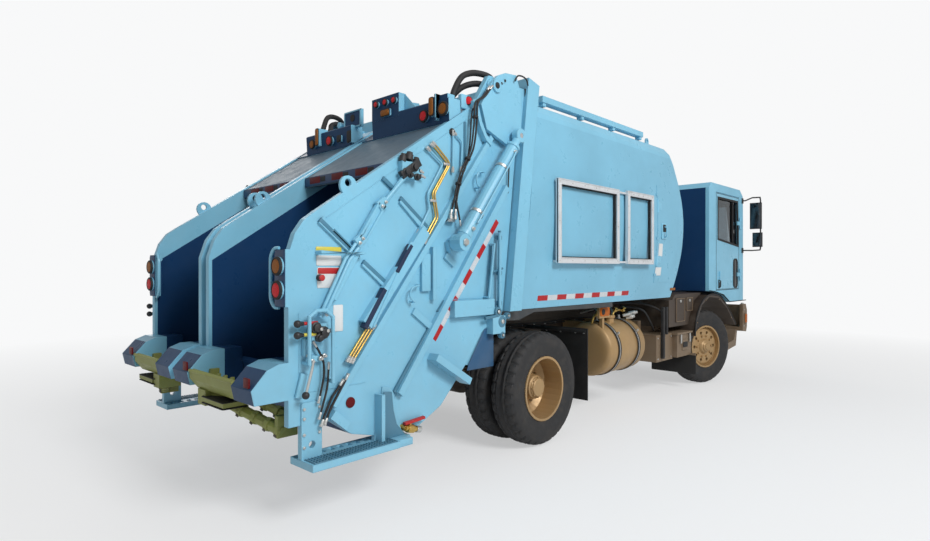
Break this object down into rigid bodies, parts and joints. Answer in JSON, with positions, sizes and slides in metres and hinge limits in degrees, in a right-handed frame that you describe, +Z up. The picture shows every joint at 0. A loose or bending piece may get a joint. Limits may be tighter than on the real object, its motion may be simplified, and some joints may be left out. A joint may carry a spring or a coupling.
{
  "type": "garbage truck with split body and twin rear hoppers",
  "caption": "Rear-loading refuse truck on two axles: low cab, split load body with crowned sides, twin rear hoppers on lifting tailgates, cart tippers and riding steps.",
  "frame": {"origin": "middle of the bounding box's bottom, on the ground under the vehicle", "axes": "+X forwards along the vehicle's length, +Y to its left, +Z up"},
  "size_m": [8.5, 2.85, 3.34],
  "materials": {
    "body_blue": "gloss paint, sky blue",
    "deep_blue": "paint in the shade, navy",
    "chassis_bronze": "chassis paint, brown bronze",
    "wheel_gold": "satin gold bronze paint",
    "tyre_rubber": "rubber",
    "skirt_grey": "dark grey satin",
    "roof_slate": "slate grey, rough",
    "aluminium": "mill finish profile",
    "lifter_olive": "olive paint, worn",
    "rod_chrome": "polished",
    "glass_grey": "tinted glass",
    "trim_black": "matt black",
    "seat_grey": "woven seat cover",
    "cast_grey": "rough casting"
  },
  "bodies": {
    "chassis": {"chassis_frame": "chassis_bronze", "engine_block": "cast_grey", "rear_axle": "chassis_bronze", "front_axle": "chassis_bronze", "front_bumper": "chassis_bronze", "fuel_tank": "wheel_gold", "battery_box": "chassis_bronze", "hydraulic_tank": "chassis_bronze", "cab_shell": "body_blue", "windshield": "glass_grey", "dashboard": "trim_black", "body_shell": "body_blue", "hose_channel": "body_blue", "equipment_box": "chassis_bronze", "prop_shaft": "cast_grey", "mud_flap_right": "trim_black", "front_fender_right": "chassis_bronze", "seat_right": "seat_grey", "mirror_right": "trim_black", "skirt_right": "skirt_grey", "poster_frames_right": "aluminium", "mud_flap_left": "trim_black", "front_fender_left": "chassis_bronze", "seat_left": "seat_grey", "mirror_left": "trim_black", "skirt_left": "skirt_grey", "poster_frames_left": "aluminium"},
    "cab_door_right": {"cab_door_right": "body_blue", "cab_window_right": "glass_grey"},
    "knuckle_right": {"knuckle_right": "chassis_bronze"},
    "front_wheel_right": {"front_rim_right": "wheel_gold", "front_tyre_right": "tyre_rubber"},
    "rear_wheel_right": {"rear_rims_right": "wheel_gold", "rear_tyre_outer_right": "tyre_rubber", "rear_tyre_inner_right": "tyre_rubber"},
    "tailgate_right": {"tailgate_right": "body_blue", "tailgate_roof_right": "roof_slate"},
    "packer_right": {"packer_right": "deep_blue"},
    "sweep_right": {"sweep_right": "deep_blue"},
    "cart_lifter_right": {"cart_lifter_right": "lifter_olive"},
    "lift_barrel_right": {"lift_barrel_right": "body_blue"},
    "lift_rod_right": {"lift_rod_right": "rod_chrome"},
    "cab_door_left": {"cab_door_left": "body_blue", "cab_window_left": "glass_grey"},
    "knuckle_left": {"knuckle_left": "chassis_bronze"},
    "front_wheel_left": {"front_rim_left": "wheel_gold", "front_tyre_left": "tyre_rubber"},
    "rear_wheel_left": {"rear_rims_left": "wheel_gold", "rear_tyre_outer_left": "tyre_rubber", "rear_tyre_inner_left": "tyre_rubber"},
    "tailgate_left": {"tailgate_left": "body_blue", "tailgate_roof_left": "roof_slate"},
    "packer_left": {"packer_left": "deep_blue"},
    "sweep_left": {"sweep_left": "deep_blue"},
    "cart_lifter_left": {"cart_lifter_left": "lifter_olive"},
    "lift_barrel_left": {"lift_barrel_left": "body_blue"},
    "lift_rod_left": {"lift_rod_left": "rod_chrome"}
  },
  "joints": [
    {"name": "cab_door_right_hinge", "type": "hinge", "parent": "chassis", "child": "cab_door_right", "pos_m": [3.81, -1.214, 2], "axis": [0, 0, 1], "range_deg": [0, 68]},
    {"name": "steer_right", "type": "hinge", "parent": "chassis", "child": "knuckle_right", "pos_m": [2.68, -0.9, 0.525], "axis": [0, 0, 1], "range_deg": [-18, 52]},
    {"name": "front_wheel_right_spin", "type": "hinge", "parent": "knuckle_right", "child": "front_wheel_right", "pos_m": [2.6391, -1.0339, 0.525], "axis": [0.2924, 0.9563, 0], "continuous": true},
    {"name": "rear_wheel_right_spin", "type": "hinge", "parent": "chassis", "child": "rear_wheel_right", "pos_m": [-1.41, -0.924, 0.525], "axis": [0, 1, 0], "continuous": true},
    {"name": "tailgate_right_hinge", "type": "hinge", "parent": "chassis", "child": "tailgate_right", "pos_m": [-2.11, 0, 3.17], "axis": [0, 1, 0], "range_deg": [0, 75]},
    {"name": "packer_right_slide", "type": "slide", "parent": "tailgate_right", "child": "packer_right", "axis": [-0.6209, 0, -0.7839], "range_m": [0, 0.75]},
    {"name": "sweep_right_hinge", "type": "hinge", "parent": "packer_right", "child": "sweep_right", "pos_m": [-2.664, 0, 2.008], "axis": [0, 1, 0], "range_deg": [0, 105]},
    {"name": "cart_lifter_right_hinge", "type": "hinge", "parent": "tailgate_right", "child": "cart_lifter_right", "pos_m": [-4.07, 0, 0.9], "axis": [0, 1, 0], "range_deg": [0, 100]},
    {"name": "lift_barrel_right_hinge", "type": "hinge", "parent": "tailgate_right", "child": "lift_barrel_right", "pos_m": [-2.61, -1.26, 1.84], "axis": [0, 1, 0], "range_deg": [-5.51, 0.5]},
    {"name": "lift_rod_right_slide", "type": "slide", "parent": "lift_barrel_right", "child": "lift_rod_right", "axis": [0.6134, 0, 0.7898], "range_m": [0, 0.5419]},
    {"name": "cab_door_left_hinge", "type": "hinge", "parent": "chassis", "child": "cab_door_left", "pos_m": [3.81, 1.214, 2], "axis": [0, 0, -1], "range_deg": [0, 68]},
    {"name": "steer_left", "type": "hinge", "parent": "chassis", "child": "knuckle_left", "pos_m": [2.68, 0.9, 0.525], "axis": [0, 0, 1], "range_deg": [-18, 52]},
    {"name": "front_wheel_left_spin", "type": "hinge", "parent": "knuckle_left", "child": "front_wheel_left", "pos_m": [2.7209, 1.0339, 0.525], "axis": [0.2924, 0.9563, 0], "continuous": true},
    {"name": "rear_wheel_left_spin", "type": "hinge", "parent": "chassis", "child": "rear_wheel_left", "pos_m": [-1.41, 0.924, 0.525], "axis": [0, 1, 0], "continuous": true},
    {"name": "tailgate_left_hinge", "type": "hinge", "parent": "chassis", "child": "tailgate_left", "pos_m": [-2.11, 0, 3.17], "axis": [0, 1, 0], "range_deg": [0, 75]},
    {"name": "packer_left_slide", "type": "slide", "parent": "tailgate_left", "child": "packer_left", "axis": [-0.6209, 0, -0.7839], "range_m": [0, 0.75]},
    {"name": "sweep_left_hinge", "type": "hinge", "parent": "packer_left", "child": "sweep_left", "pos_m": [-2.664, 0, 2.008], "axis": [0, 1, 0], "range_deg": [0, 105]},
    {"name": "cart_lifter_left_hinge", "type": "hinge", "parent": "tailgate_left", "child": "cart_lifter_left", "pos_m": [-4.07, 0, 0.9], "axis": [0, 1, 0], "range_deg": [0, 100]},
    {"name": "lift_barrel_left_hinge", "type": "hinge", "parent": "tailgate_left", "child": "lift_barrel_left", "pos_m": [-2.61, 1.26, 1.84], "axis": [0, 1, 0], "range_deg": [-5.51, 0.5]},
    {"name": "lift_rod_left_slide", "type": "slide", "parent": "lift_barrel_left", "child": "lift_rod_left", "axis": [0.6134, 0, 0.7898], "range_m": [0, 0.5419]}
  ],
  "couplings": [
    {"joint": "lift_barrel_right_hinge", "follows": "tailgate_right_hinge", "ratio": -0.066735},
    {"joint": "lift_rod_right_slide", "follows": "tailgate_right_hinge", "m_per_rad": 0.41012},
    {"joint": "lift_barrel_left_hinge", "follows": "tailgate_left_hinge", "ratio": -0.066735},
    {"joint": "lift_rod_left_slide", "follows": "tailgate_left_hinge", "m_per_rad": 0.41012},
    {"joint": "steer_left", "follows": "steer_right", "ratio": 1}
  ]
}
